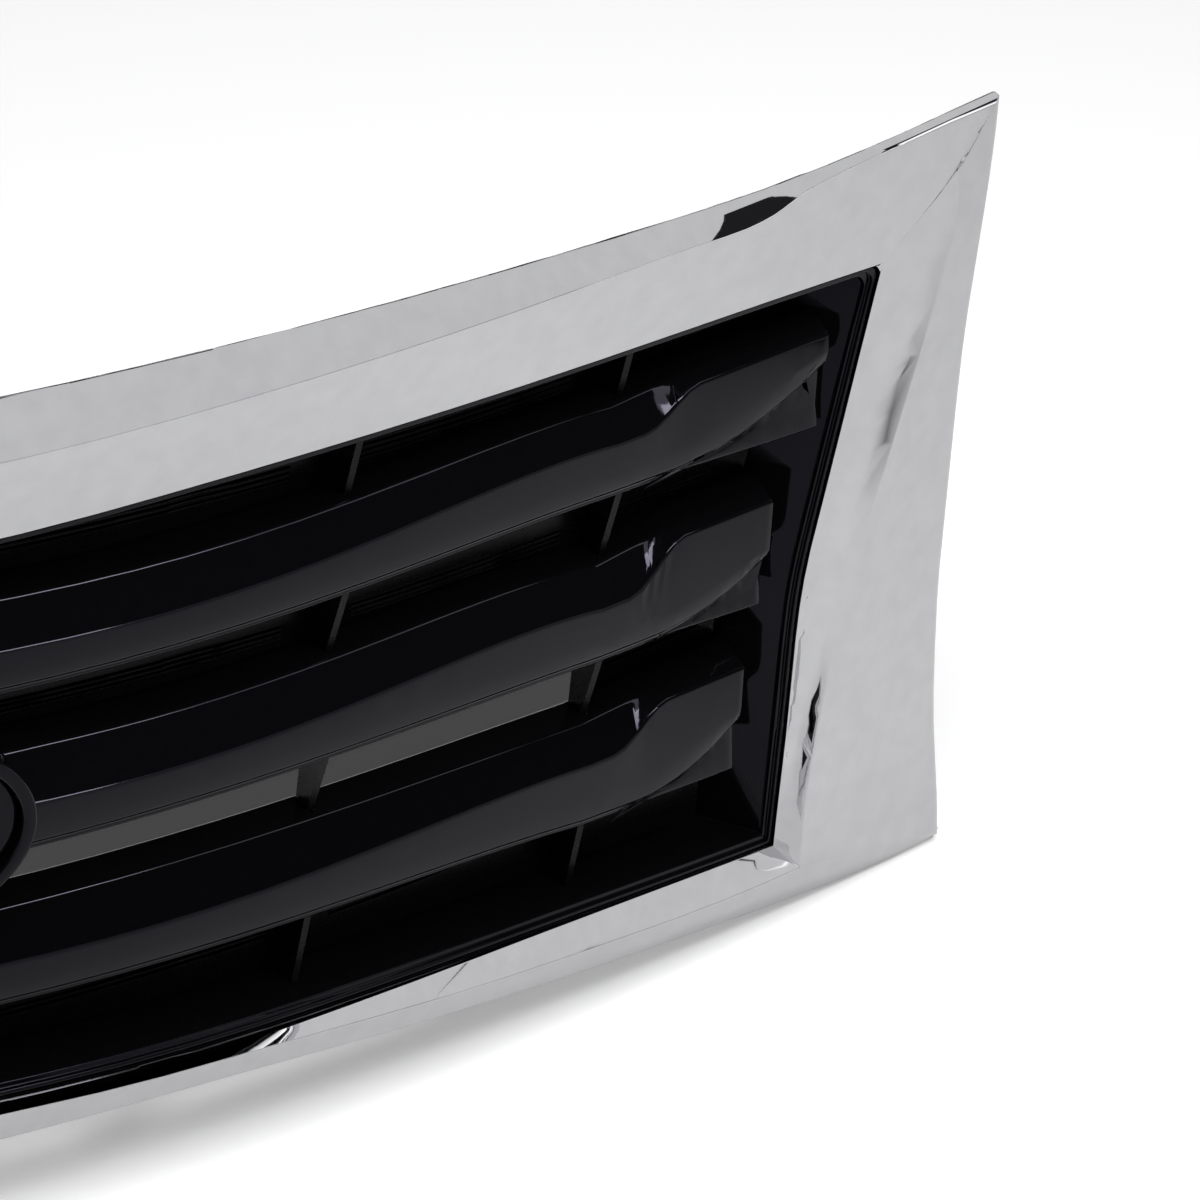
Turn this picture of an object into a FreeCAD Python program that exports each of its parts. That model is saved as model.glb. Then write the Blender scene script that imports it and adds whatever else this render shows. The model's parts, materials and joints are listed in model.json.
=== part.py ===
import FreeCAD, Part
import os
from FreeCAD import Vector

os.makedirs("parts", exist_ok=True)

# ---- frame: X to the right seen from the front, front faces -Y, Z up; x = 0 is the plane of symmetry ----

# ---- driving dimensions, mm ----
bow_span = 450.0            # half width the bow is stated over
bow_depth = 114.0           # sweep back of the nominal front face at bow_span, square term
bow_ease = 24.7             # fourth-power term that eases the sweep near the ends
wall = 2.8                  # moulding wall of the surround
return_depth = 24.0         # back edge of the surround, behind the nominal face
clear = 0.3                 # clearance between separate mouldings

# surround, right half: (x, z, depth behind the nominal face)
rim_top = [(0, 159.2, 2), (90, 160.3, 2), (180, 160.6, 2), (254, 159.6, 1.5), (325, 159.2, 0),
           (363, 159.9, -1), (401, 161.9, -1.2), (425, 163.2, -0.5), (461.2, 164.9, 1.5)]
rim_side = [(461.2, 164.9, 1.5), (462.2, 129.8, 2), (460.2, 69.8, 2), (462.2, -3.2, 2), (464.2, -48, 2),
            (467.2, -79, 2), (472.2, -116, 2), (478.2, -146, 2), (483, -174.8, 2)]
rim_foot = [(0, -140.8, 2), (60, -141.2, 2), (115, -142.4, 2), (160, -145.2, 2), (205, -149.9, 2),
            (256, -155.5, 2), (326, -163.8, 2), (409, -173.2, 2), (451, -176.2, 2), (483, -174.8, 2)]
crease_top = [(0, 143.8, -9), (103, 147.4, -9), (184, 150.6, -8.6), (268, 152.4, -7), (319, 151.9, -5.5),
              (338, 151.4, -4.9), (351, 153.2, -4.4), (361, 156.4, -3.8), (372, 158.6, -3.3),
              (400, 160.4, -2.2), (428, 161.9, -1), (459.5, 163.1, 0.5)]
crease_foot = [(0, -125.6, -2), (45, -126.6, -2), (98, -129.6, -2.2), (157, -132.4, -2.5), (223, -139, -2.8),
               (302, -146.7, -3.2), (363, -152.0, -3.7), (402.4, -153.2, -4)]
scoop_edge = [(443, 140, 0), (445.4, 126.7, -1), (442.9, 108.4, -2), (435.4, 75.1, -3), (424.8, 33.8, -4),
              (417.6, 4.8, -4), (408.4, -44, -4), (403.4, -83, -4), (401.2, -115, -4), (402.4, -153.2, -4)]
lip_top = [(0, 105.0, 6), (101, 108.7, 6), (162, 110.6, 6), (261, 110.9, 6), (334, 110, 6), (414.6, 107.2, 6)]
lip_side = [(414.6, 107.2, 6), (410.3, 81.7, 6), (405.4, 52.7, 6), (397.8, 8.7, 6), (393.2, -22.3, 6),
            (392.4, -50.3, 6), (393, -78.3, 6), (393.2, -103.3, 6), (393.4, -145.3, 6)]
lip_foot = [(0, -125.6, 2), (100, -128.8, 2.5), (200, -131.6, 3.5), (285, -135.8, 4.8), (346, -141, 5.6),
            (393.4, -145.3, 6)]
rim_bevel = 1.2             # rim edge stands this far outside the front edge of the bevel
rim_bevel_depth = 2.5
hairline = 1.6              # narrow strip between the rim bevel and the cheek
scoop_hollow = 3.4          # how far the scoop is hollowed below a flat facet
bonnet_land = 0.4           # straight land behind the bevel of the top rim
bonnet_slope = 1.0          # fall per mm of depth behind that land: the bonnet edge closes over it
rim_corner_r = 4.5          # rounding of the four outer corners
opening_corner_r = 5.0      # rounding of the two upper corners of the opening

# insert: border, flange and floor depths behind the nominal face
border = 4.5                # width of the black border inside the surround
border_depth = 9.5
floor_depth = 36.5
flange_t = 2.5
cheek_in = 20.0             # run of the sloping side walls towards the middle
cheek_line = [(412.6, 120), (405.5, 81), (400.5, 52), (393, 8.7), (388.5, -22), (387.7, -50), (388, -78),
              (388.3, -103), (388.6, -160)]

# slats: heights of the lip, crease, fold and chin lines at the stations in slat_stations and at the
# end, the end's brow and blade heights where the wing has fanned out, and how far the slat reaches
slat_stations = (0, 110, 205, 294, 332)
wing_rise = (306.0, 332.0)  # the crease climbs between these
fan_start = 322.0           # the nose splits into brow and blade from here outwards
slat_rows = {
    "upper": {"lip": (75.6, 74.7, 79.6, 81.0, 84.4, 84.8), "crease": (61.0, 60.0, 67.5, 70.4, 82.3, 82.6),
              "fold": (52.0, 51.6, 56.3, 57.2, 60.0, 76.0), "chin": (41.5, 42.3, 46.0, 47.0, 46.5, 41.5),
              "brow": 71.0, "blade": 51.5, "reach": 394.0},
    "middle": {"lip": (13.5, 11.9, 15.6, 13.6, 18.8, 18.9), "crease": (-3.4, -5.2, 0.5, 0.2, 17.7, 17.2),
               "fold": (-13.0, -13.4, -11.7, -13.8, -12.8, -2.0),
               "chin": (-24.8, -24.0, -22.6, -24.4, -25.0, -29.6),
               "brow": -6.5, "blade": -22.5, "reach": 375.0},
    "lower": {"lip": (-52.4, -52.5, -53.0, -56.0, -52.8, -53.0),
              "crease": (-68.8, -70.8, -68.0, -69.0, -54.6, -55.2),
              "fold": (-78.5, -79.4, -79.6, -83.6, -83.0, -72.5),
              "chin": (-88.4, -89.6, -91.0, -97.4, -99.5, -103.0),
              "brow": -77.5, "blade": -92.5, "reach": 370.0},
}
slat_back = 33.7
lip_depth, crease_depth, fold_depth, brow_depth, chin_depth = 18.0, 8.0, 8.6, 9.4, 10.0
wing_crease_depth, wing_chin_depth, recess_depth, blade_depth = 10.0, 11.0, 15.0, 13.0
brow_rise, blade_rise = 3.0, 1.4        # brow and blade above the chin where the nose isn't split
recess_set, blade_set = 0.8, 0.4        # recess and blade behind the chin there
recess_drop, recess_fan = 0.6, 2.0      # recess below the brow, and how much further at the end
fan_curve = 1.8             # the brow leaves the chin slowly at first
slat_wall = 2.6
shelf_wall, shelf_rise = 2.2, 0.3       # shelf behind the lip, and its rise to the back edge
lip_in, crease_in = (1.4, 2.4), (3.0, 2.0)   # inner corners, as depth and drop from the outer ones
chin_rise, chin_in, chin_slope = 8.0, 3.8, 0.3
end_wall = 3.0

# upright fins behind the slats
fin_x = (178.0, 299.0)
fin_lean = (3.1, 1.2)       # degrees, tops outwards
fin_t = 2.5
fin_slot = 22.0
fin_head = 14.0
fin_floor, fin_ceiling = -150.0, 118.0
fin_play = 0.5              # between the foot of a blade and the bottom of its slot
fin_seat, fin_top = 0.8, 2.8    # how far a blade laps the slat under it and the one over it
fin_tail = 4.0              # blade before trimming, past the panels

# closing panels and their fine ribs
panel_depth = 34.0
panel_t = 2.5
panel_split = 0.0           # upper panel ends here, behind the middle slat
panel_lower_top = -72.0     # lower panel ends here, behind the lower slat
side_panel_x = 302.2
rib_h = 1.2
rib_t = 0.9
rib_gap = 14.0              # ribs stop this far short of a fin
rib_levels = {"upper": [82.9, 85.2, 87.5, 89.8, 17.8, 19.9, 22.0], "side": [-46.5, -44.1, -41.7],
              "lower": [-112.5, -110.1]}

# badge: plain oval place in the middle slat
badge_a, badge_b = 52.0, 37.0
badge_wall = 3.0
badge_front = -2.0
badge_floor = 4.0
rim_lip, rim_h = 2.0, 3.0
plate_sink, plate_chamfer = 1.0, 1.2
badge_stud_x, stud_r, stud_length = 31.0, 2.0, 8.0
nut_r, nut_t = 5.5, 1.0

# fixings
boss_r = 3.6
screw_r = 1.9
screw_hole_r = 2.2
pilot_depth = 12.0
pad_r = 6.0
pad_back = 29.5
head_r, head_taper, head_h = 4.0, 0.9, 2.6
socket_r, socket_depth = 1.4, 1.5
screw_tip, tip_gap, tip_r = 2.0, 1.5, 0.5
boss_points = [(s * x, z) for s in (-1, 1) for x, z in
               ((195, 122), (365, 122), (440, 25), (150, -136.5), (330, -152))]
tab_x = (120.0, 320.0)
tab_z = 115.0
tab_t = 3.0
tab_w = 34.0
tab_reach = 52.0
tab_gusset, gusset_t = 9.0, 2.5
tab_hole_depth = 40.0
tab_hole_r = 4.25
hook_x = (115.0, 262.0)
hook_z = (-133.0, -146.0)
hook_reach, hook_w, hook_t = 48.0, 22.0, 3.0
hook_nose, hook_drop = 8.0, 7.0
pin_x, pin_z, pin_r, pin_reach, pin_tip = 437.0, -128.0, 4.0, 52.0, 5.0
pin_shoulder_r, pin_seat = 7.0, 30.0
blade_x, blade_z, blade_reach, blade_t, blade_h = 440.0, -45.0, 47.0, 3.0, 18.0
clip_t, clip_h, clip_front, clip_tongue = 0.8, 14.0, 32.0, 8.0
seal_x, seal_z, seal_h, seal_t = 340.0, 129.0, 5.0, 4.0
stop_x, stop_z, stop_r, stop_h, stop_seat = 441.0, 66.0, 7.0, 10.0, 31.0


def bow(x):
    t = x / bow_span
    return bow_depth * t * t - bow_ease * t ** 4


def at(x, z, depth):
    return Vector(x, bow(x) + depth, z)


def both(points):
    """Right half of a run from the middle outwards, turned into a whole run from left to right."""
    left = [(-x, z, d) for x, z, d in reversed(points) if x > 0]
    return left + list(points)


def spline(points):
    curve = Part.BSplineCurve()
    curve.interpolate([at(*p) for p in points])
    return curve


def param_at_x(curve, x):
    low, high = curve.FirstParameter, curve.LastParameter
    for _ in range(60):
        mid = (low + high) / 2
        if curve.value(mid).x < x:
            low = mid
        else:
            high = mid
    return (low + high) / 2


def cut_at(points, x_cut):
    """Edges of a whole run, cut at -x_cut and x_cut."""
    curve = spline(both(points))
    marks = [curve.FirstParameter, param_at_x(curve, -x_cut), param_at_x(curve, x_cut), curve.LastParameter]
    return [curve.toShape(a, b) for a, b in zip(marks, marks[1:])]


def mirrored(shape):
    return shape.mirror(Vector(0, 0, 0), Vector(1, 0, 0))


def line(a, b):
    return Part.makeLine(at(*a), at(*b))


def strips(edges_a, edges_b):
    return [Part.makeRuledSurface(a, b) for a, b in zip(edges_a, edges_b)]


def solid_from(faces):
    shell = Part.makeShell(faces)
    shell.sewShape(0.02)
    solid = Part.Solid(shell.Shells[0] if shell.ShapeType != "Shell" else shell)
    if solid.Volume < 0:
        solid.reverse()
    return solid


def slab(depth_a, depth_b, half_width=520.0, height=400.0):
    """Bowed slab between two depths behind the nominal face."""
    step = half_width / 8
    line_a = [at(-half_width + i * step, -height, depth_a) for i in range(17)]
    line_b = [at(-half_width + i * step, -height, depth_b) for i in range(17)]
    curve_a, curve_b = Part.BSplineCurve(), Part.BSplineCurve()
    curve_a.interpolate(line_a)
    curve_b.interpolate(line_b)
    wire = Part.Wire([curve_a.toShape(), Part.makeLine(line_a[-1], line_b[-1]),
                      curve_b.toShape(), Part.makeLine(line_b[0], line_a[0])])
    return Part.Face(wire).extrude(Vector(0, 0, 2 * height))


def shifted(p, dx, dz, dd):
    return (p[0] + dx, p[1] + dz, p[2] + dd)


def surround_body(inset=0.0, sink=0.0):
    """Ring behind the outer skin of the surround; with inset and sink, the hollow that leaves the walls."""
    x_lip = lip_top[-1][0] + inset
    x_foot = crease_foot[-1][0]

    def run(points, dz, dd, grow=0.0):
        reach = points[-1][0]
        return [shifted(p, grow * p[0] / reach, dz, dd + sink) for p in points]

    rim_t = run(rim_top, -inset, 0, -inset)
    rim_f = run(rim_foot, inset, 0, -inset)
    rim_s = [rim_t[-1]] + [shifted(p, -inset, 0, sink) for p in rim_side[1:-1]] + [rim_f[-1]]
    edge_t = run(rim_top, rim_bevel - inset, rim_bevel_depth, rim_bevel - inset)
    edge_f = run(rim_foot, inset - rim_bevel, rim_bevel_depth, rim_bevel - inset)
    edge_s = [edge_t[-1]] + [shifted(p, rim_bevel, 0, rim_bevel_depth) for p in rim_s[1:-1]] + [edge_f[-1]]
    crease_t = run(crease_top, -inset, 0, -inset)
    crease_f = run(crease_foot, -1.3 * inset, 0)
    scoop_s = [shifted(p, 0, 0, sink) for p in scoop_edge[:-1]] + [crease_f[-1]]
    lip_t = run(lip_top, inset, 0, inset)
    lip_f = run(lip_foot, -inset, 0, inset)
    lip_s = [lip_t[-1]] + [shifted(p, inset, 0, sink) for p in lip_side[1:-1]] + [lip_f[-1]]
    hair_foot = shifted(rim_f[-1], -1.5 * hairline, 2.0, -0.8)
    hair_s = [crease_t[-1]] + [shifted(p, -hairline, 0, -0.8) for p in rim_s[1:-1]] + [hair_foot]

    def loop(top, side, foot):
        right = spline(side).toShape()
        return cut_at(top, x_lip) + [right, mirrored(right)] + cut_at(foot, x_foot)

    edge_loop = loop(edge_t, edge_s, edge_f)
    rim_loop = loop(rim_t, rim_s, rim_f)
    foot_end = line(crease_f[-1], hair_foot)
    crease_mid = spline(both(crease_f)).toShape()
    hair = spline(hair_s).toShape()
    crease_loop = (cut_at(crease_t, x_lip) + [hair, mirrored(hair)]
                   + [mirrored(foot_end), crease_mid, foot_end])
    scoop = spline(scoop_s).toShape()
    lip = spline(lip_s).toShape()
    notch = line(lip_t[-1], scoop_s[0])
    top_lip = spline(both(lip_t)).toShape()
    foot_lip = spline(both(lip_f)).toShape()
    hollow = hollow_line(scoop, lip).toShape()
    scoop_face = Part.makeLoft([Part.Wire([scoop]), Part.Wire([hollow]), Part.Wire([lip])], False, False)

    skin = strips(edge_loop, rim_loop) + strips(rim_loop, crease_loop)
    skin += [Part.makeRuledSurface(crease_loop[1], top_lip), Part.makeRuledSurface(crease_mid, foot_lip)]
    right = [Part.makeRuledSurface(crease_loop[2], notch), Part.makeRuledSurface(hair, scoop)]
    right += scoop_face.Faces
    skin += right + [mirrored(face) for face in right]
    back = Vector(0, 80, 0)
    boundary = edge_loop + [top_lip, foot_lip, lip, mirrored(lip)]
    sides = [edge.extrude(back) for edge in boundary]
    return solid_from(skin + [face.translated(back) for face in skin] + sides)


def hollow_line(scoop, lip, steps=12):
    """Third line of the scoop, half way across it and sunk below the straight line between its edges."""
    points = []
    for i in range(steps + 1):
        a, b = [edge.valueAt(edge.FirstParameter + (edge.LastParameter - edge.FirstParameter) * i / steps)
                for edge in (scoop, lip)]
        sunk = scoop_hollow * min(1.0, 4.0 * i / steps, 4.0 * (steps - i) / steps)
        points.append((a + b) * 0.5 + Vector(0, sunk, 0))
    curve = Part.BSplineCurve()
    curve.interpolate(points)
    return curve


def flat(points):
    """The same run laid in the XZ plane."""
    curve = Part.BSplineCurve()
    curve.interpolate([Vector(x, 0, z) for x, z, _ in points])
    return curve.toShape()


def outline(top, side, foot, inset, upper_r=0.0, lower_r=0.0):
    """Closed front outline, drawn in by inset all round, as a prism along Y with its corners rounded."""
    top = [shifted(p, -inset * p[0] / top[-1][0], -inset, 0) for p in top]
    foot = [shifted(p, -inset * p[0] / foot[-1][0], inset, 0) for p in foot]
    side = [top[-1]] + [shifted(p, -inset, 0, 0) for p in side[1:-1]] + [foot[-1]]
    right = flat(side)
    wire = Part.Wire(Part.__sortEdges__([flat(both(top)), right, flat(both(foot)), mirrored(right)]))
    prism = Part.Face(wire).translated(Vector(0, -80, 0)).extrude(Vector(0, 330, 0))
    for radius, z in ((upper_r, top[-1][1]), (lower_r, foot[-1][1])):
        if radius > 0:
            prism = prism.makeFillet(radius, [e for e in prism.Edges if corner_edge(e, z)])
    return prism


def corner_edge(edge, z):
    """Whether an edge of a prism runs along Y at height z."""
    box = edge.BoundBox
    return box.YLength > 300 and abs(box.ZMin - z) < 0.01 and abs(box.ZMax - z) < 0.01


def opening(inset):
    """Room inside the chrome opening; its rounding grows a little so that the corners clear."""
    return outline(lip_top, lip_side, lip_foot, inset, opening_corner_r + 2 * clear)


def rim_outline(inset):
    return outline(rim_top, rim_side, rim_foot, inset, rim_corner_r, rim_corner_r)


def bonnet_room():
    """Room over the top rim and behind it, which falls away backwards under the edge of the bonnet."""
    points = [shifted(p, 0, rim_bevel, rim_bevel_depth + bonnet_land) for p in rim_top]
    points.append(shifted(points[-1], 12, 0.5, 0))
    edge = spline(both(points)).toShape()
    return edge.extrude(Vector(0, 90, -90 * bonnet_slope)).extrude(Vector(0, 0, 250))


def corner_web(side):
    """Fills an upper corner of the opening just behind the lip, up to the rounding."""
    x, z, depth = lip_top[-1]
    r, over = opening_corner_r, wall / 2
    slope = (bow(x) - bow(x - r)) / r

    def p(dx, dz):
        return Vector(side * (x + dx), bow(x) + depth + clear + slope * dx, z + dz)

    start, end = p(-r, 0.08 * r), p(-0.07 * r, -r)
    arc = Part.Arc(start, p(-0.38 * r, -0.29 * r), end).toShape()
    rest = Part.makePolygon([end, p(over, -r), p(over, over), p(-r, over), start])
    return Part.Face(Part.Wire([arc] + rest.Edges)).extrude(Vector(0, wall, 0))


def cylinder(x, z, depth, radius, length):
    """Round bar along Y from a depth behind the nominal face."""
    return Part.makeCylinder(radius, length, at(x, z, depth), Vector(0, 1, 0))


def chrome_surround():
    body = surround_body()
    hollow = surround_body(wall, wall * 1.4)
    behind = slab(-60, return_depth)
    shell = body.cut(hollow).common(behind).fuse([corner_web(side) for side in (-1, 1)])
    shell = shell.cut(bonnet_room()).common(rim_outline(-rim_bevel - clear))
    posts = []
    for x, z in boss_points:
        post = cylinder(x, z, -20, boss_r, return_depth + 40).common(hollow.common(behind))
        posts.append(post.cut(cylinder(x, z, return_depth - pilot_depth, screw_r, 40)))
    return shell.fuse(posts).removeSplitter()


def insert_frame():
    collar = opening(clear).cut(opening(border)).common(slab(border_depth, floor_depth))
    step = opening(clear).cut(opening(border * 0.5)).common(slab(border_depth - 2, border_depth))
    flange = rim_outline(1.5).cut(opening(border)).common(slab(return_depth, return_depth + flange_t))
    flange = flange.cut(bonnet_room())
    pads = [cylinder(x, z, return_depth + 1, pad_r, pad_back - return_depth - 1) for x, z in boss_points]
    frame = collar.fuse([step, flange] + cheeks() + pads + top_tabs() + lower_hooks() + locating_pins())
    frame = frame.cut([cylinder(x, z, 0, screw_hole_r, 60) for x, z in boss_points])
    return frame.removeSplitter()


def cheek(side, thick=1.5, spare=0.0):
    """Sloping side wall between the border and the ends of the slats."""
    wires = []
    for x, z in cheek_line:
        x_in = x - cheek_in - spare
        section = [(x - spare, border_depth + 2), (x + thick, border_depth + 5),
                   (x_in + 2 * thick + 3, floor_depth), (x_in, floor_depth), (x_in, floor_depth - flange_t)]
        wires.append(Part.makePolygon([Vector(side * px, bow(px) + d, z) for px, d in section + section[:1]]))
    return Part.makeLoft(wires, True, False)


def cheeks():
    return [cheek(side).common(opening(border - 0.5)) for side in (-1, 1)]


def between(values, xs, x):
    """Value at x along straight runs between the given stations."""
    for a, b, u, v in zip(xs, xs[1:], values, values[1:]):
        if x <= b:
            return u + (v - u) * (x - a) / (b - a)
    return values[-1]


def ease(t):
    t = min(1.0, max(0.0, t))
    return t * t * (3 - 2 * t)


def slat_line(name, line, x):
    """Height of one of a slat's lines at x; the crease climbs to the wing in an S-curve."""
    row = slat_rows[name]
    xs = slat_stations + (row["reach"],)
    if line == "crease" and slat_stations[3] < x < wing_rise[1]:
        low, high = row[line][3], row[line][4]
        return low + (high - low) * ease((x - wing_rise[0]) / (wing_rise[1] - wing_rise[0]))
    return between(row[line], xs, x)


def slat_section(name, x, side, solid=False):
    """Section of a slat, open at the back: shelf, lip, crease, fold, brow, recess, blade and chin."""
    row = slat_rows[name]
    lip, crease, fold, chin = [slat_line(name, line, x) for line in ("lip", "crease", "fold", "chin")]
    up = ease((x - wing_rise[0]) / (wing_rise[1] - wing_rise[0]))
    fan = min(1.0, max(0.0, (x - fan_start) / (row["reach"] - fan_start)))
    brow = chin + brow_rise + (row["brow"] - row["chin"][-1] - brow_rise) * fan ** fan_curve
    blade = chin + blade_rise + (row["blade"] - row["chin"][-1] - blade_rise) * fan
    d_crease = crease_depth + (wing_crease_depth - crease_depth) * up
    d_chin = chin_depth + (wing_chin_depth - chin_depth) * fan
    d_recess = chin_depth + recess_set + (recess_depth - chin_depth - recess_set) * fan
    d_blade = chin_depth + blade_set + (blade_depth - chin_depth - blade_set) * fan
    recess = brow - recess_drop - recess_fan * fan
    pts = [(lip_depth, lip), (d_crease, crease), (fold_depth, fold), (brow_depth, brow), (d_recess, recess),
           (d_blade, blade), (d_chin, chin), (slat_back, chin + chin_rise)]
    if not solid:
        d_in = d_recess + slat_wall
        pts += [(slat_back, chin + chin_rise + slat_wall),
                (d_in, chin + chin_in + chin_slope * (d_in - d_chin - slat_wall)), (d_in, recess + slat_wall),
                (d_crease + crease_in[0], crease - crease_in[1]), (lip_depth + lip_in[0], lip - lip_in[1]),
                (slat_back, lip - shelf_wall)]
    pts.append((slat_back, lip + shelf_rise))
    return Part.makePolygon([at(side * x, z, d) for d, z in pts + pts[:1]])


def slat(name):
    """Slat from a smooth middle, two straight-ruled wings and solid end walls, slotted for the fins."""
    reach = slat_rows[name]["reach"] - end_wall
    inner = list(slat_stations[:4])
    stations = [(x, -1) for x in reversed(inner[1:])] + [(x, 1) for x in inner]
    middle = Part.makeLoft([slat_section(name, x, side) for x, side in stations], True, False)
    out = [inner[-1]] + [wing_rise[0] + (wing_rise[1] - wing_rise[0]) * i / 5 for i in range(6)]
    out += [out[-1] + (reach - out[-1]) * (i + 1) / 5 for i in range(5)]
    wing = Part.makeLoft([slat_section(name, x, 1) for x in out], True, True)
    cap = Part.makeLoft([slat_section(name, x, 1, True) for x in (reach, reach + end_wall)], True, True)
    shape = middle.fuse([wing, mirrored(wing), cap, mirrored(cap)])
    slots = []
    for x, lean in zip(fin_x, fin_lean):
        half_slot = fin_t / 2 + clear
        slot = Part.makeBox(2 * half_slot, 60, 500, Vector(x - half_slot, bow(x) + fin_slot, -250))
        slot.rotate(Vector(x, 0, 0), Vector(0, 1, 0), lean)
        slots += [slot, mirrored(slot)]
    return shape.cut(slots)


def largest(shape):
    return max(shape.Solids, key=lambda q: q.Volume)


def fin(x, lean, slats):
    """Upright blade behind the slats, its front edge leaning forward towards the top of each row."""
    names = ("lower", "middle", "upper")
    lows = [fin_floor] + [slat_line(name, "lip", x) for name in names]
    highs = [slat_line(name, "chin", x) for name in names] + [fin_ceiling]
    pts = [(panel_depth + fin_tail, fin_floor)]
    for low, high in zip(lows, highs):
        pts += [(fin_slot + fin_play, low + fin_seat), (fin_head, high), (fin_slot + fin_play, high + fin_top)]
    pts.append((panel_depth + fin_tail, fin_ceiling + fin_top))
    blade = profile(x, fin_t, pts)
    blade.rotate(Vector(x, 0, 0), Vector(0, 1, 0), lean)
    return blade.cut(slats).common(slab(0, slat_back)).common(opening(border + clear))


def rib_spans():
    marks = [-side_panel_x - 70] + sorted([-x for x in fin_x] + list(fin_x)) + [side_panel_x + 70]
    return [(a + rib_gap, b - rib_gap) for a, b in zip(marks, marks[1:])]


def behind_slat(z, x):
    """Whether a rib at this height would run into the back edges of a slat."""
    return any(slat_line(name, "chin", abs(x)) + 6 < z < slat_line(name, "lip", abs(x)) + 1.2
               for name in slat_rows)


def ribbed_panel(x_a, x_b, z_a, z_b, levels, keep_off):
    """Closing panel behind the slats with fine level ribs on its front."""
    inside = opening(border + clear)
    box = Part.makeBox(x_b - x_a, 400, z_b - z_a, Vector(x_a, -100, z_a))
    panel = slab(panel_depth, panel_depth + panel_t).common(box)
    ribs = slab(panel_depth - rib_h, panel_depth + 0.5)
    bars = []
    for z in levels:
        for a, b in rib_spans():
            a, b = max(a, x_a + 2), min(b, x_b - 2)
            if b - a > 8 and not behind_slat(z, a) and not behind_slat(z, b):
                bars.append(Part.makeBox(b - a, 400, rib_t, Vector(a, -100, z - rib_t / 2)))
    panel = panel.fuse([ribs.common(bar) for bar in bars]).common(inside)
    return largest(panel.cut(keep_off))


def oval(a, b, depth_a, depth_b):
    face = Part.Face(Part.Wire(Part.Ellipse(Vector(0, 0, 0), a, b).toShape()))
    face.rotate(Vector(0, 0, 0), Vector(1, 0, 0), 90)
    return face.translated(Vector(0, depth_a, 0)).extrude(Vector(0, depth_b - depth_a, 0))


def badge_base():
    cup = oval(badge_a, badge_b, badge_front, slat_back)
    cup = cup.cut(oval(badge_a - badge_wall, badge_b - badge_wall, badge_front - 1, badge_floor))
    cup = cup.cut(oval(badge_a - badge_wall, badge_b - badge_wall, badge_floor + badge_wall, slat_back + 1))
    for side in (-1, 1):
        cup = cup.cut(cylinder(side * badge_stud_x, 0, -bow(badge_stud_x), stud_r + clear, 20))
    return cup


def badge_rim():
    ring = oval(badge_a + rim_lip, badge_b + rim_lip, badge_front - rim_h, badge_front)
    return ring.cut(oval(badge_a - badge_wall, badge_b - badge_wall, badge_front - rim_h - 1, badge_front + 1))


def badge_plate():
    a, b = badge_a - badge_wall - clear, badge_b - badge_wall - clear
    face_y = badge_front + plate_sink
    plate = oval(a, b, face_y, badge_floor)
    edges = [e for e in plate.Edges if abs(e.BoundBox.YMax - face_y) < 0.01 and e.BoundBox.XLength > a]
    plate = plate.makeChamfer(plate_chamfer, edges[:1])
    for side in (-1, 1):
        foot = Vector(side * badge_stud_x, badge_floor, 0)
        stud = Part.makeCylinder(stud_r, stud_length, foot, Vector(0, 1, 0))
        plate = plate.fuse(stud)
    return plate


def badge_push_nuts():
    nuts, out = [], Vector(0, 1, 0)
    for side in (-1, 1):
        seat = Vector(side * badge_stud_x, badge_floor + badge_wall, 0)
        bore = Part.makeCylinder(stud_r, 2 * nut_t, seat - out * (nut_t / 2), out)
        nuts.append(Part.makeCylinder(nut_r, nut_t, seat, out).cut(bore))
    return Part.makeCompound(nuts)


def flange_screws():
    """Self-tapping screws that hold the insert flange to the bosses of the surround."""
    out = []
    for x, z in boss_points:
        head = Part.makeCone(head_r, head_r - head_taper, head_h, at(x, z, pad_back), Vector(0, 1, 0))
        tip = return_depth - pilot_depth + tip_gap
        shank = cylinder(x, z, tip + screw_tip, screw_r, pad_back - tip - screw_tip)
        point = Part.makeCone(tip_r, screw_r, screw_tip, at(x, z, tip), Vector(0, 1, 0))
        socket = cylinder(x, z, pad_back + head_h - socket_depth, socket_r, 2 * socket_depth)
        out.append(head.fuse([shank, point]).cut(socket).removeSplitter())
    return Part.makeCompound(out)


def block(x_a, x_b, depth_a, depth_b, z_a, z_b, bow_x):
    return Part.makeBox(x_b - x_a, depth_b - depth_a, z_b - z_a, Vector(x_a, bow(bow_x) + depth_a, z_a))


def profile(x_mid, width, points):
    """Side profile of (depth, z) points, extruded along X about x_mid."""
    pts = [Vector(x_mid - width / 2, bow(x_mid) + d, z) for d, z in points + points[:1]]
    return Part.Face(Part.makePolygon(pts)).extrude(Vector(width, 0, 0))


def top_tabs():
    """Screw tabs of the insert flange, with a gusset on each side of the hole."""
    out = []
    root = return_depth + flange_t / 2
    for s in (-1, 1):
        for x in tab_x:
            tab = block(s * x - tab_w / 2, s * x + tab_w / 2, root, tab_reach, tab_z, tab_z + tab_t, x)
            hole = Part.makeCylinder(tab_hole_r, 20, at(s * x, tab_z - 8, tab_hole_depth), Vector(0, 0, 1))
            out.append(tab.cut(hole))
            for g in (-1, 1):
                out.append(profile(s * x + g * (tab_w - gusset_t) / 2, gusset_t,
                                   [(root, tab_z), (tab_reach - 4, tab_z), (root, tab_z - tab_gusset)]))
    return out


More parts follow.
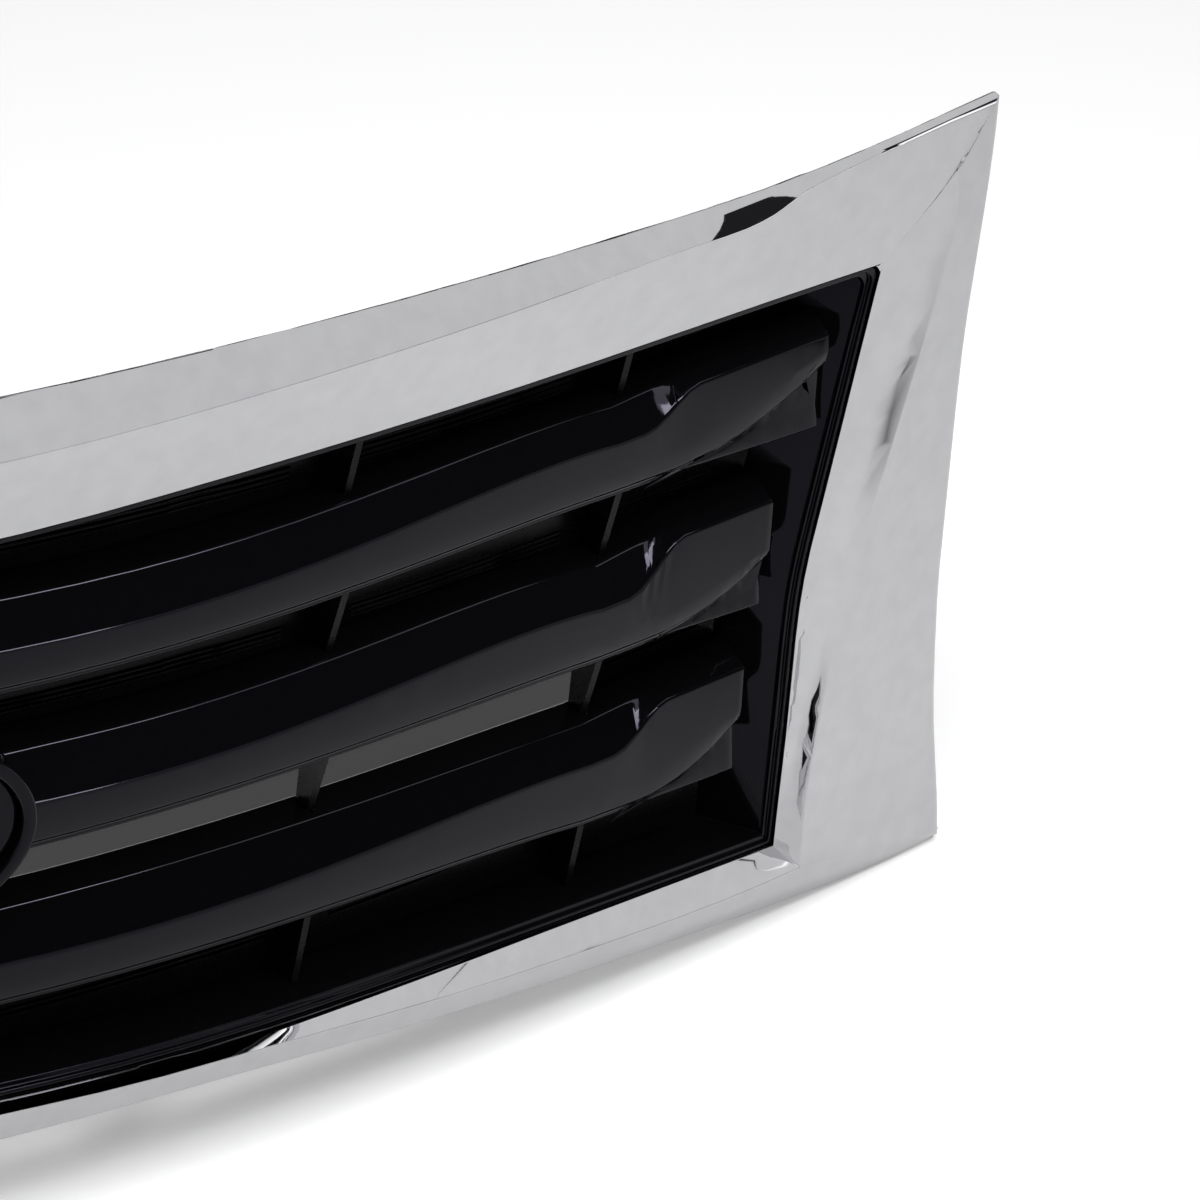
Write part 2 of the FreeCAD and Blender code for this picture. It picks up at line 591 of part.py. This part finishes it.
def lower_hooks():
    out = []
    root = return_depth + flange_t / 2
    for s in (-1, 1):
        for x, z in zip(hook_x, hook_z):
            nose = hook_reach - hook_nose
            out.append(profile(s * x, hook_w, [(root, z), (hook_reach, z), (hook_reach, z - hook_t + 1),
                                               (nose, z - hook_drop), (nose, z - hook_t), (root, z - hook_t)]))
    return out


def locating_pins():
    """Shouldered pins, seats of the bump stops and side blades, all standing on the flange."""
    out = []
    root = return_depth + flange_t / 2
    for s in (-1, 1):
        out.append(cylinder(s * pin_x, pin_z, root, pin_shoulder_r, pin_seat - root))
        out.append(cylinder(s * pin_x, pin_z, root, pin_r, pin_reach - root))
        end = at(s * pin_x, pin_z, pin_reach)
        out.append(Part.makeCone(pin_r, pin_r * 0.45, pin_tip, end, Vector(0, 1, 0)))
        out.append(cylinder(s * stop_x, stop_z, root, stop_r + 1, stop_seat - root))
        out.append(block(s * blade_x - blade_t / 2, s * blade_x + blade_t / 2, root, blade_reach,
                         blade_z - blade_h / 2, blade_z + blade_h / 2, blade_x))
    return out


def spring_clip(side):
    """Folded spring-steel clip over a side blade."""
    x, half = side * blade_x, blade_t / 2
    low, high = blade_z - clip_h / 2, blade_z + clip_h / 2
    outer = block(x - half - clip_t, x + half + clip_t, clip_front, blade_reach + clip_t, low, high, blade_x)
    clip = outer.cut(block(x - half, x + half, clip_front - 1, blade_reach, low - 1, high + 1, blade_x))
    bend, spread = x + side * (half + clip_t), x + side * (half + 4)
    root, tip = blade_reach - 3, blade_reach - 9
    pts = [(bend, root), (spread, tip), (spread, tip - 1), (bend, root - 1.4)]
    pts = [Vector(px, bow(blade_x) + d, blade_z - clip_tongue / 2) for px, d in pts + pts[:1]]
    return clip.fuse(Part.Face(Part.makePolygon(pts)).extrude(Vector(0, 0, clip_tongue))).removeSplitter()


def top_seal():
    strip = slab(return_depth + flange_t, return_depth + flange_t + seal_t)
    return strip.common(Part.makeBox(2 * seal_x, 400, seal_h, Vector(-seal_x, -100, seal_z)))


def bump_stop(side):
    foot = cylinder(side * stop_x, stop_z, stop_seat, stop_r, stop_h - 2)
    end = at(side * stop_x, stop_z, stop_seat + stop_h - 2)
    return foot.fuse(Part.makeCone(stop_r, stop_r - 1.5, 2, end, Vector(0, 1, 0)))


def all_parts():
    surround = chrome_surround()
    frame = insert_frame()
    beyond = [cheek(side, 40) for side in (-1, 1)]
    slats = {name: largest(slat(name).cut(beyond)) for name in slat_rows}
    cut_middle = slats["middle"].cut(oval(badge_a + clear, badge_b + clear, -60, 80))
    left, right = sorted(sorted(cut_middle.Solids, key=lambda q: -q.Volume)[:2], key=lambda q: q.CenterOfMass.x)
    slats["middle"] = Part.makeCompound([left, right])
    parts = {"chrome_surround": surround, "insert_frame": frame, "slat_upper": slats["upper"],
             "slat_middle_left": left, "slat_middle_right": right, "slat_lower": slats["lower"]}
    keep_off = [cheek(side, 40, clear) for side in (-1, 1)]
    for label, x, lean in zip(("inner", "outer"), fin_x, fin_lean):
        blade = fin(x, lean, list(slats.values()))
        parts["fin_" + label + "_right"] = blade
        parts["fin_" + label + "_left"] = mirrored(blade)
    x_end = 400
    parts["panel_upper"] = ribbed_panel(-x_end, x_end, panel_split, 130, rib_levels["upper"], keep_off)
    z_side = panel_lower_top + clear
    right = ribbed_panel(side_panel_x, x_end, z_side, panel_split - clear, rib_levels["side"], keep_off)
    parts["panel_side_right"] = right
    parts["panel_side_left"] = mirrored(right)
    parts["panel_lower"] = ribbed_panel(-x_end, x_end, -150, panel_lower_top, rib_levels["lower"], keep_off)
    parts["badge_base"] = badge_base()
    parts["badge_rim"] = badge_rim()
    parts["badge_plate"] = badge_plate()
    parts["badge_push_nuts"] = badge_push_nuts()
    parts["flange_screws"] = flange_screws()
    parts["top_seal"] = top_seal()
    for label, side in (("left", -1), ("right", 1)):
        parts["side_clip_" + label] = spring_clip(side)
        parts["bump_stop_" + label] = bump_stop(side)
    return parts


def tidy(shape):
    """A single solid out of a boolean result, or a compound of its solids."""
    solids = shape.Solids
    return solids[0] if len(solids) == 1 else Part.makeCompound(solids)


parts = {name: tidy(shape) for name, shape in all_parts().items()}
boxes = [parts[name].optimalBoundingBox(False, False) for name in ("chrome_surround", "insert_frame")]
low = Vector(*[min(getattr(b, axis + "Min") for b in boxes) for axis in "XYZ"])
high = Vector(*[max(getattr(b, axis + "Max") for b in boxes) for axis in "XYZ"])
middle = (low + high) * 0.5     # the row's origin is the centre of the whole
for name, shape in parts.items():
    ok = shape.isValid() and all(s.isClosed() for s in shape.Shells)
    print(name, len(shape.Solids), "valid" if ok else "BAD", round(shape.Volume))
    shape.translate(middle * -1)
    shape.exportStep("parts/" + name + ".step")
print("moved by", middle * -1, "overall", high - low)
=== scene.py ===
import json
import math
import bpy
import bmesh
from mathutils import Matrix, Vector


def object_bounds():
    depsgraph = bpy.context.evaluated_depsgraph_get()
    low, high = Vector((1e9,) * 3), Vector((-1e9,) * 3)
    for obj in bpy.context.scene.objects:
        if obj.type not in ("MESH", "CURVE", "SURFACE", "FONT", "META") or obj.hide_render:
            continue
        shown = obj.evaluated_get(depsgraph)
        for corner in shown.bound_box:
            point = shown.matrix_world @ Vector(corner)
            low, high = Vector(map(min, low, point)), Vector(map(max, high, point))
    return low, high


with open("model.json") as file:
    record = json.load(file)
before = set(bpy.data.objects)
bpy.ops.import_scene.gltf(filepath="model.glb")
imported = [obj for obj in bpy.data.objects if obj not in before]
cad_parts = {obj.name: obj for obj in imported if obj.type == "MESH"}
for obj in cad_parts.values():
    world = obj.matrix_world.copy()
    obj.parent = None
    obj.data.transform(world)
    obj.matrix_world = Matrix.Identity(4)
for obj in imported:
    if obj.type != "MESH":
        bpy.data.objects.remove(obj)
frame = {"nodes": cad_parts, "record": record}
cad_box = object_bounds()
nodes = frame["nodes"]

mm = 1000.0                       # millimetres in a metre
noise_low, noise_high = 0.3, 0.7  # where nearly all values of Blender's noise lie


# ---------------------------------------------------------------- colours and nodes

def linear(hex_colour):
    """sRGB hex to linear RGBA."""
    parts = [int(hex_colour[i:i + 2], 16) / 255 for i in (1, 3, 5)]
    return [c / 12.92 if c <= 0.04045 else ((c + 0.055) / 1.055) ** 2.4 for c in parts] + [1.0]


def add(tree, kind, inputs=None, **settings):
    """Adds a node, sets its properties, and fills or links its inputs."""
    new = tree.nodes.new(kind)
    for name, value in settings.items():
        setattr(new, name, value)
    for key, value in (inputs or {}).items():
        if isinstance(value, bpy.types.NodeSocket):
            tree.links.new(value, new.inputs[key])
        else:
            new.inputs[key].default_value = value
    return new


def start(name):
    """A new material, its empty tree, and the piece's own coordinates in metres."""
    material = bpy.data.materials.new(name)
    material.use_nodes = True
    tree = material.node_tree
    tree.nodes.clear()
    return material, tree, add(tree, "ShaderNodeTexCoord").outputs["Object"]


def noise(tree, place, size_mm, detail=2.0):
    """Noise whose features are about size_mm across."""
    inputs = {"Vector": place, "Scale": mm / size_mm, "Detail": detail, "Roughness": 0.5}
    return add(tree, "ShaderNodeTexNoise", inputs).outputs["Fac"]


def span(tree, value, low_out, high_out):
    """Spreads a noise over the given range."""
    inputs = {"Value": value, "From Min": noise_low, "From Max": noise_high,
              "To Min": low_out, "To Max": high_out}
    return add(tree, "ShaderNodeMapRange", inputs).outputs["Result"]


def two_tone(tree, value, hex_a, hex_b):
    """Colour that runs from one shade to another with value."""
    mix = add(tree, "ShaderNodeMix", {"Factor": value}, data_type="RGBA")
    mix.inputs[6].default_value = linear(hex_a)  # the node's colours A and B, and its colour result
    mix.inputs[7].default_value = linear(hex_b)
    return mix.outputs[2]


def bump(tree, height, strength, depth_mm):
    inputs = {"Height": height, "Strength": strength, "Distance": depth_mm / mm}
    return add(tree, "ShaderNodeBump", inputs).outputs["Normal"]


def close(tree, **inputs):
    """Ends a material in one principled shader with the given inputs."""
    keys = {"colour": "Base Color", "metallic": "Metallic", "roughness": "Roughness",
            "normal": "Normal", "ior": "IOR", "tint": "Specular Tint"}
    filled = {keys[key]: value for key, value in inputs.items()}
    shader = add(tree, "ShaderNodeBsdfPrincipled", filled)
    add(tree, "ShaderNodeOutputMaterial", {"Surface": shader.outputs["BSDF"]})


# ---------------------------------------------------------------- materials

def bright_chromed_abs():
    """Bright chromium on moulded ABS: a mirror with a faint long wave from the moulding."""
    material, tree, place = start("bright_chromed_abs")
    wave = noise(tree, place, size_mm=70.0, detail=1.0)
    haze = noise(tree, place, size_mm=9.0, detail=3.0)
    close(tree, colour=two_tone(tree, span(tree, haze, 0.0, 1.0), "#C4C4C7", "#CACACC"),
          metallic=1.0, roughness=span(tree, haze, 0.03, 0.045),
          normal=bump(tree, wave, strength=0.12, depth_mm=0.6))
    return material


def piano_black_abs():
    """High-gloss black ABS from a polished mould: a clear reflection over deep black."""
    material, tree, place = start("piano_black_abs")
    sink = noise(tree, place, size_mm=45.0, detail=1.0)
    dust = noise(tree, place, size_mm=3.0, detail=4.0)
    close(tree, colour=two_tone(tree, dust, "#040405", "#060607"),
          metallic=0.0, ior=1.36, tint=(0.38, 0.36, 0.46, 1),
          roughness=span(tree, dust, 0.05, 0.09),
          normal=bump(tree, sink, strength=0.2, depth_mm=0.8))
    return material


def satin_black_abs():
    """Black ABS from a fine-etched mould: satin, with a grain of about half a millimetre."""
    material, tree, place = start("satin_black_abs")
    grain = noise(tree, place, size_mm=0.5, detail=3.0)
    close(tree, colour=two_tone(tree, grain, "#050506", "#090909"),
          metallic=0.0, ior=1.3, tint=(0.4, 0.4, 0.44, 1),
          roughness=span(tree, grain, 0.22, 0.34),
          normal=bump(tree, grain, strength=0.15, depth_mm=0.01))
    return material


def phosphated_spring_steel():
    """Phosphated spring steel: dark grey, patchy where the coating thins."""
    material, tree, place = start("phosphated_spring_steel")
    patch = noise(tree, place, size_mm=2.5, detail=4.0)
    close(tree, colour=two_tone(tree, patch, "#4A4C50", "#6A6C70"), metallic=1.0,
          roughness=span(tree, patch, 0.3, 0.5),
          normal=bump(tree, patch, strength=0.2, depth_mm=0.04))
    return material


def zinc_plated_steel():
    """Clear-passivated zinc on screw steel: pale, slightly streaked."""
    material, tree, place = start("zinc_plated_steel")
    streak = noise(tree, place, size_mm=1.6, detail=4.0)
    close(tree, colour=two_tone(tree, streak, "#B9BBBE", "#D2D2CC"), metallic=1.0,
          roughness=span(tree, streak, 0.22, 0.4),
          normal=bump(tree, streak, strength=0.2, depth_mm=0.03))
    return material


def cellular_rubber():
    """Closed-cell rubber strip: matt black, with cut pores of about a millimetre."""
    material, tree, place = start("cellular_rubber")
    pores_per_metre = 900.0
    cells = add(tree, "ShaderNodeTexVoronoi", {"Vector": place, "Scale": pores_per_metre})
    pores = cells.outputs["Distance"]
    close(tree, colour=two_tone(tree, pores, "#0C0C0C", "#1D1D1D"),
          metallic=0.0, roughness=0.85,
          normal=bump(tree, pores, strength=0.6, depth_mm=0.3))
    return material


def moulded_rubber():
    """Moulded rubber: near-black with a soft bloom."""
    material, tree, place = start("moulded_rubber")
    bloom = noise(tree, place, size_mm=4.0, detail=3.0)
    close(tree, colour=two_tone(tree, bloom, "#101010", "#1B1B1C"), metallic=0.0,
          roughness=span(tree, bloom, 0.55, 0.75),
          normal=bump(tree, bloom, strength=0.15, depth_mm=0.05))
    return material


finishes = {"chrome_trim": bright_chromed_abs(), "gloss_black": piano_black_abs(),
            "satin_black": satin_black_abs(), "spring_steel": phosphated_spring_steel(),
            "zinc_steel": zinc_plated_steel(), "seal_foam": cellular_rubber(),
            "stop_rubber": moulded_rubber()}
slots = {part["node"]: part["material_slot"] for part in frame["record"]["subparts"]}
for node_name, node in nodes.items():
    node.data.materials.clear()
    node.data.materials.append(finishes[slots[node_name]])


# ---------------------------------------------------------------- softened edges

edge_radius_mm = {"slat_upper": 1.1, "slat_middle_left": 1.1, "slat_middle_right": 1.1,
                  "slat_lower": 1.1, "chrome_surround": 0.4, "insert_frame": 0.5,
                  "panel_upper": 0.4, "badge_rim": 0.9, "badge_plate": 0.5}
seam_gap = 0.00001   # CAD faces whose edges lie closer than this are joined
sharp_deg = 14.0     # edges that turn by more than this are rounded
round_steps = 2
face_weight = 100    # the shading follows the large faces, so the small ones blend in


def soften(name, radius_mm):
    """Rounds a moulding's hard edges: joins its CAD faces, then bevels what turns sharply."""
    piece = nodes[name]
    seam = piece.modifiers.new("seams", "WELD")
    seam.merge_threshold = seam_gap
    edge = piece.modifiers.new("edge_radius", "BEVEL")
    edge.width = radius_mm / mm
    edge.segments = round_steps
    edge.limit_method = "ANGLE"
    edge.angle_limit = math.radians(sharp_deg)
    edge.use_clamp_overlap = False
    edge.miter_outer = "MITER_ARC"
    shading = piece.modifiers.new("shading", "WEIGHTED_NORMAL")
    shading.mode = "FACE_AREA_WITH_ANGLE"
    shading.keep_sharp = False
    shading.weight = face_weight


for part_name, radius in edge_radius_mm.items():
    soften(part_name, radius)


# ---------------------------------------------------------------- floor, flag and sky

floor_z = cad_box[0][2]                # the part's underside
floor_gap = 0.0005                     # the paper lies this far below it
floor_half = 4.0
slot_floor = Vector((0.26, 0.165, 0))  # middle of the floor that shows through the lowest slot
painted_shade_half = (0.24, 0.1)               # half axes of the oval of painted shade round that place, where the paper's glow is lowered
painted_shade_fade = (0.9, 1.5)                # the painted shade thins out between these multiples of the oval
lift_levels = (0.035, 0.3)             # the paper's glow for the camera: low in the oval, a painted shade over the flag's real shadow, and full away
flag_half = (0.21, 0.075)
flag_height = 0.06
sweep_top = 0.14                       # sine of 8 degrees: the pale sweep ends here
room_base = 0.22                       # sine of 13 degrees: the dark room is reached here
sweep_colour = (0.92, 0.92, 0.93, 1)
room_colour = (0.02, 0.02, 0.022, 1)
white = (1, 1, 1, 1)


def sheet(name, centre, half_x, half_y, material):
    """A flat level sheet of the studio, which is no part of the object."""
    mesh = bpy.data.meshes.new(name)
    shape = bmesh.new()
    bmesh.ops.create_grid(shape, x_segments=1, y_segments=1, size=1.0)
    bmesh.ops.scale(shape, verts=shape.verts, vec=(half_x, half_y, 1))
    bmesh.ops.translate(shape, verts=shape.verts, vec=centre)
    shape.to_mesh(mesh)
    shape.free()
    mesh.materials.append(material)
    piece = bpy.data.objects.new(name, mesh)
    bpy.context.scene.collection.objects.link(piece)
    return piece


def camera_ray(tree):
    return add(tree, "ShaderNodeLightPath").outputs["Is Camera Ray"]


def floor():
    """White paper. Its glow keeps the backdrop white for the camera alone, and is lowered in an
    oval behind the part: a painted shade over the flag's real shadow.
    """
    material, tree, place = start("studio_floor_paper")
    away = add(tree, "ShaderNodeVectorMath", {0: place, 1: slot_floor}, operation="SUBTRACT")
    oval = add(tree, "ShaderNodeVectorMath",
               {0: away.outputs[0], 1: (1 / painted_shade_half[0], 1 / painted_shade_half[1], 0)},
               operation="MULTIPLY")
    far = add(tree, "ShaderNodeVectorMath", {0: oval.outputs[0]}, operation="LENGTH")
    # painted shade: the camera-only glow drops inside the oval behind the part, on top of the
    # flag's real shadow
    lift = add(tree, "ShaderNodeMapRange",
               {"Value": far.outputs["Value"], "From Min": painted_shade_fade[0],
                "From Max": painted_shade_fade[1], "To Min": lift_levels[0], "To Max": lift_levels[1]})
    glow = add(tree, "ShaderNodeMath", {0: camera_ray(tree), 1: lift.outputs["Result"]},
               operation="MULTIPLY")
    paper = add(tree, "ShaderNodeBsdfDiffuse", {"Color": linear("#F2F2F2")})
    shine = add(tree, "ShaderNodeEmission", {"Color": white, "Strength": glow.outputs[0]})
    both = add(tree, "ShaderNodeAddShader", {0: paper.outputs[0], 1: shine.outputs[0]})
    add(tree, "ShaderNodeOutputMaterial", {"Surface": both.outputs[0]})
    sheet("studio_floor", (0, 0, floor_z - floor_gap), floor_half, floor_half, material)


def flag():
    """Black cloth low behind the part: unseen, it shades the floor seen through the slot."""
    material, tree, _ = start("studio_flag_cloth")
    close(tree, colour=linear("#050505"), metallic=0.0, roughness=0.9)
    centre = slot_floor + Vector((0, 0, floor_z + flag_height))
    cloth = sheet("studio_flag", centre, flag_half[0], flag_half[1], material)
    cloth.visible_camera = cloth.visible_glossy = False


def sky():
    """White for the camera. For all else, a pale sweep near the horizon under a dark room."""
    world = bpy.data.worlds.new("studio")
    bpy.context.scene.world = world
    world.use_nodes = True
    tree = world.node_tree
    tree.nodes.clear()
    aim = add(tree, "ShaderNodeTexCoord").outputs["Generated"]
    height = add(tree, "ShaderNodeSeparateXYZ", {0: aim}).outputs["Z"]
    ramp = add(tree, "ShaderNodeValToRGB", {"Fac": height})
    stops = ramp.color_ramp.elements
    stops[0].position, stops[0].color = sweep_top, sweep_colour
    stops[1].position, stops[1].color = room_base, room_colour
    room = add(tree, "ShaderNodeBackground", {"Color": ramp.outputs[0], "Strength": 1.0})
    plain = add(tree, "ShaderNodeBackground", {"Color": white, "Strength": 1.0})
    mix = add(tree, "ShaderNodeMixShader",
              {0: camera_ray(tree), 1: room.outputs[0], 2: plain.outputs[0]})
    add(tree, "ShaderNodeOutputWorld", {"Surface": mix.outputs[0]})


floor()
flag()
sky()


# ---------------------------------------------------------------- lamps and cards

def softbox(name, place, aim, width, depth, power, mirrored_by=None, roll_deg=0.0):
    """Area lamp. Alone, it lights all and shows in no gloss; with nodes, it is their card."""
    lamp = bpy.data.lights.new(name, "AREA")
    lamp.shape = "RECTANGLE"
    lamp.size, lamp.size_y, lamp.energy = width, depth, power
    holder = bpy.data.objects.new(name, lamp)
    direction = Vector(aim) - Vector(place)
    facing = direction.to_track_quat("-Z", "Y").to_matrix().to_4x4()
    roll = Matrix.Rotation(math.radians(roll_deg), 4, "Z")
    holder.matrix_world = Matrix.Translation(place) @ facing @ roll
    bpy.context.scene.collection.objects.link(holder)
    holder.visible_glossy = bool(mirrored_by)
    if mirrored_by:
        takers = bpy.data.collections.new(name + "_takers")
        for taker in mirrored_by:
            takers.objects.link(nodes[taker])
        holder.light_linking.receiver_collection = takers


def with_slot(*names):
    return [name for name in nodes if slots[name] in names]


metal = with_slot("chrome_trim", "zinc_steel", "spring_steel")
black = with_slot("gloss_black", "satin_black")
upper_slats = ("slat_upper", "slat_middle_left", "slat_middle_right")

softbox("overhead_softbox", place=(0.3, -0.45, 1.9), aim=(0.1, -0.1, 0),
        width=2.4, depth=1.8, power=58)
# the chrome mirrors a large card above it and a small one low on the right
softbox("upper_card", place=(0.932, -0.435, 1.226), aim=(0, 0, 0),
        width=2.7, depth=1.5, power=10.6, mirrored_by=metal)
softbox("lower_card", place=(0.8641, -0.2838, 0.1915), aim=(0.3041, 0.0402, 0.1915),
        width=0.36, depth=0.16, power=0.152, mirrored_by=metal, roll_deg=-7.8)
# the black pieces mirror strips along their lips and, on the upper slats, along the noses
softbox("lip_strip", place=(0.93, -0.45, 1.17), aim=(0.2, 0, 0.05),
        width=0.9, depth=0.3, power=3.6, mirrored_by=black)
softbox("lip_strip_left", place=(0.57, -0.8, 1.11), aim=(0.05, 0, 0.05),
        width=0.4, depth=0.3, power=9.0, mirrored_by=black)
softbox("nose_strip", place=(0.5, -1.4, 0.17), aim=(0.05, 0, 0.05),
        width=0.55, depth=0.22, power=9.0, mirrored_by=upper_slats)


# ---------------------------------------------------------------- camera

lens_mm, sensor_mm = 150.0, 36.0
camera_right = Vector((0.89841633, -0.43210158, 0.0783347))  # solved from the traced outline
camera_up = Vector((0.17059773, 0.50778654, 0.84442243))
solved_place = Vector((-0.44504, -1.30487, 0.97012))
recentring = Vector((0, -0.06677069, 0.0057237))  # the source's move to the middle of its box


def camera():
    lens = bpy.data.cameras.new("camera")
    lens.lens, lens.sensor_width = lens_mm, sensor_mm
    holder = bpy.data.objects.new("camera", lens)
    back = camera_right.cross(camera_up)
    turn = Matrix((camera_right, camera_up, back)).transposed()
    holder.matrix_world = Matrix.Translation(solved_place + recentring) @ turn.to_4x4()
    bpy.context.scene.collection.objects.link(holder)
    bpy.context.scene.camera = holder


camera()
bpy.context.scene.view_settings.view_transform = "Standard"
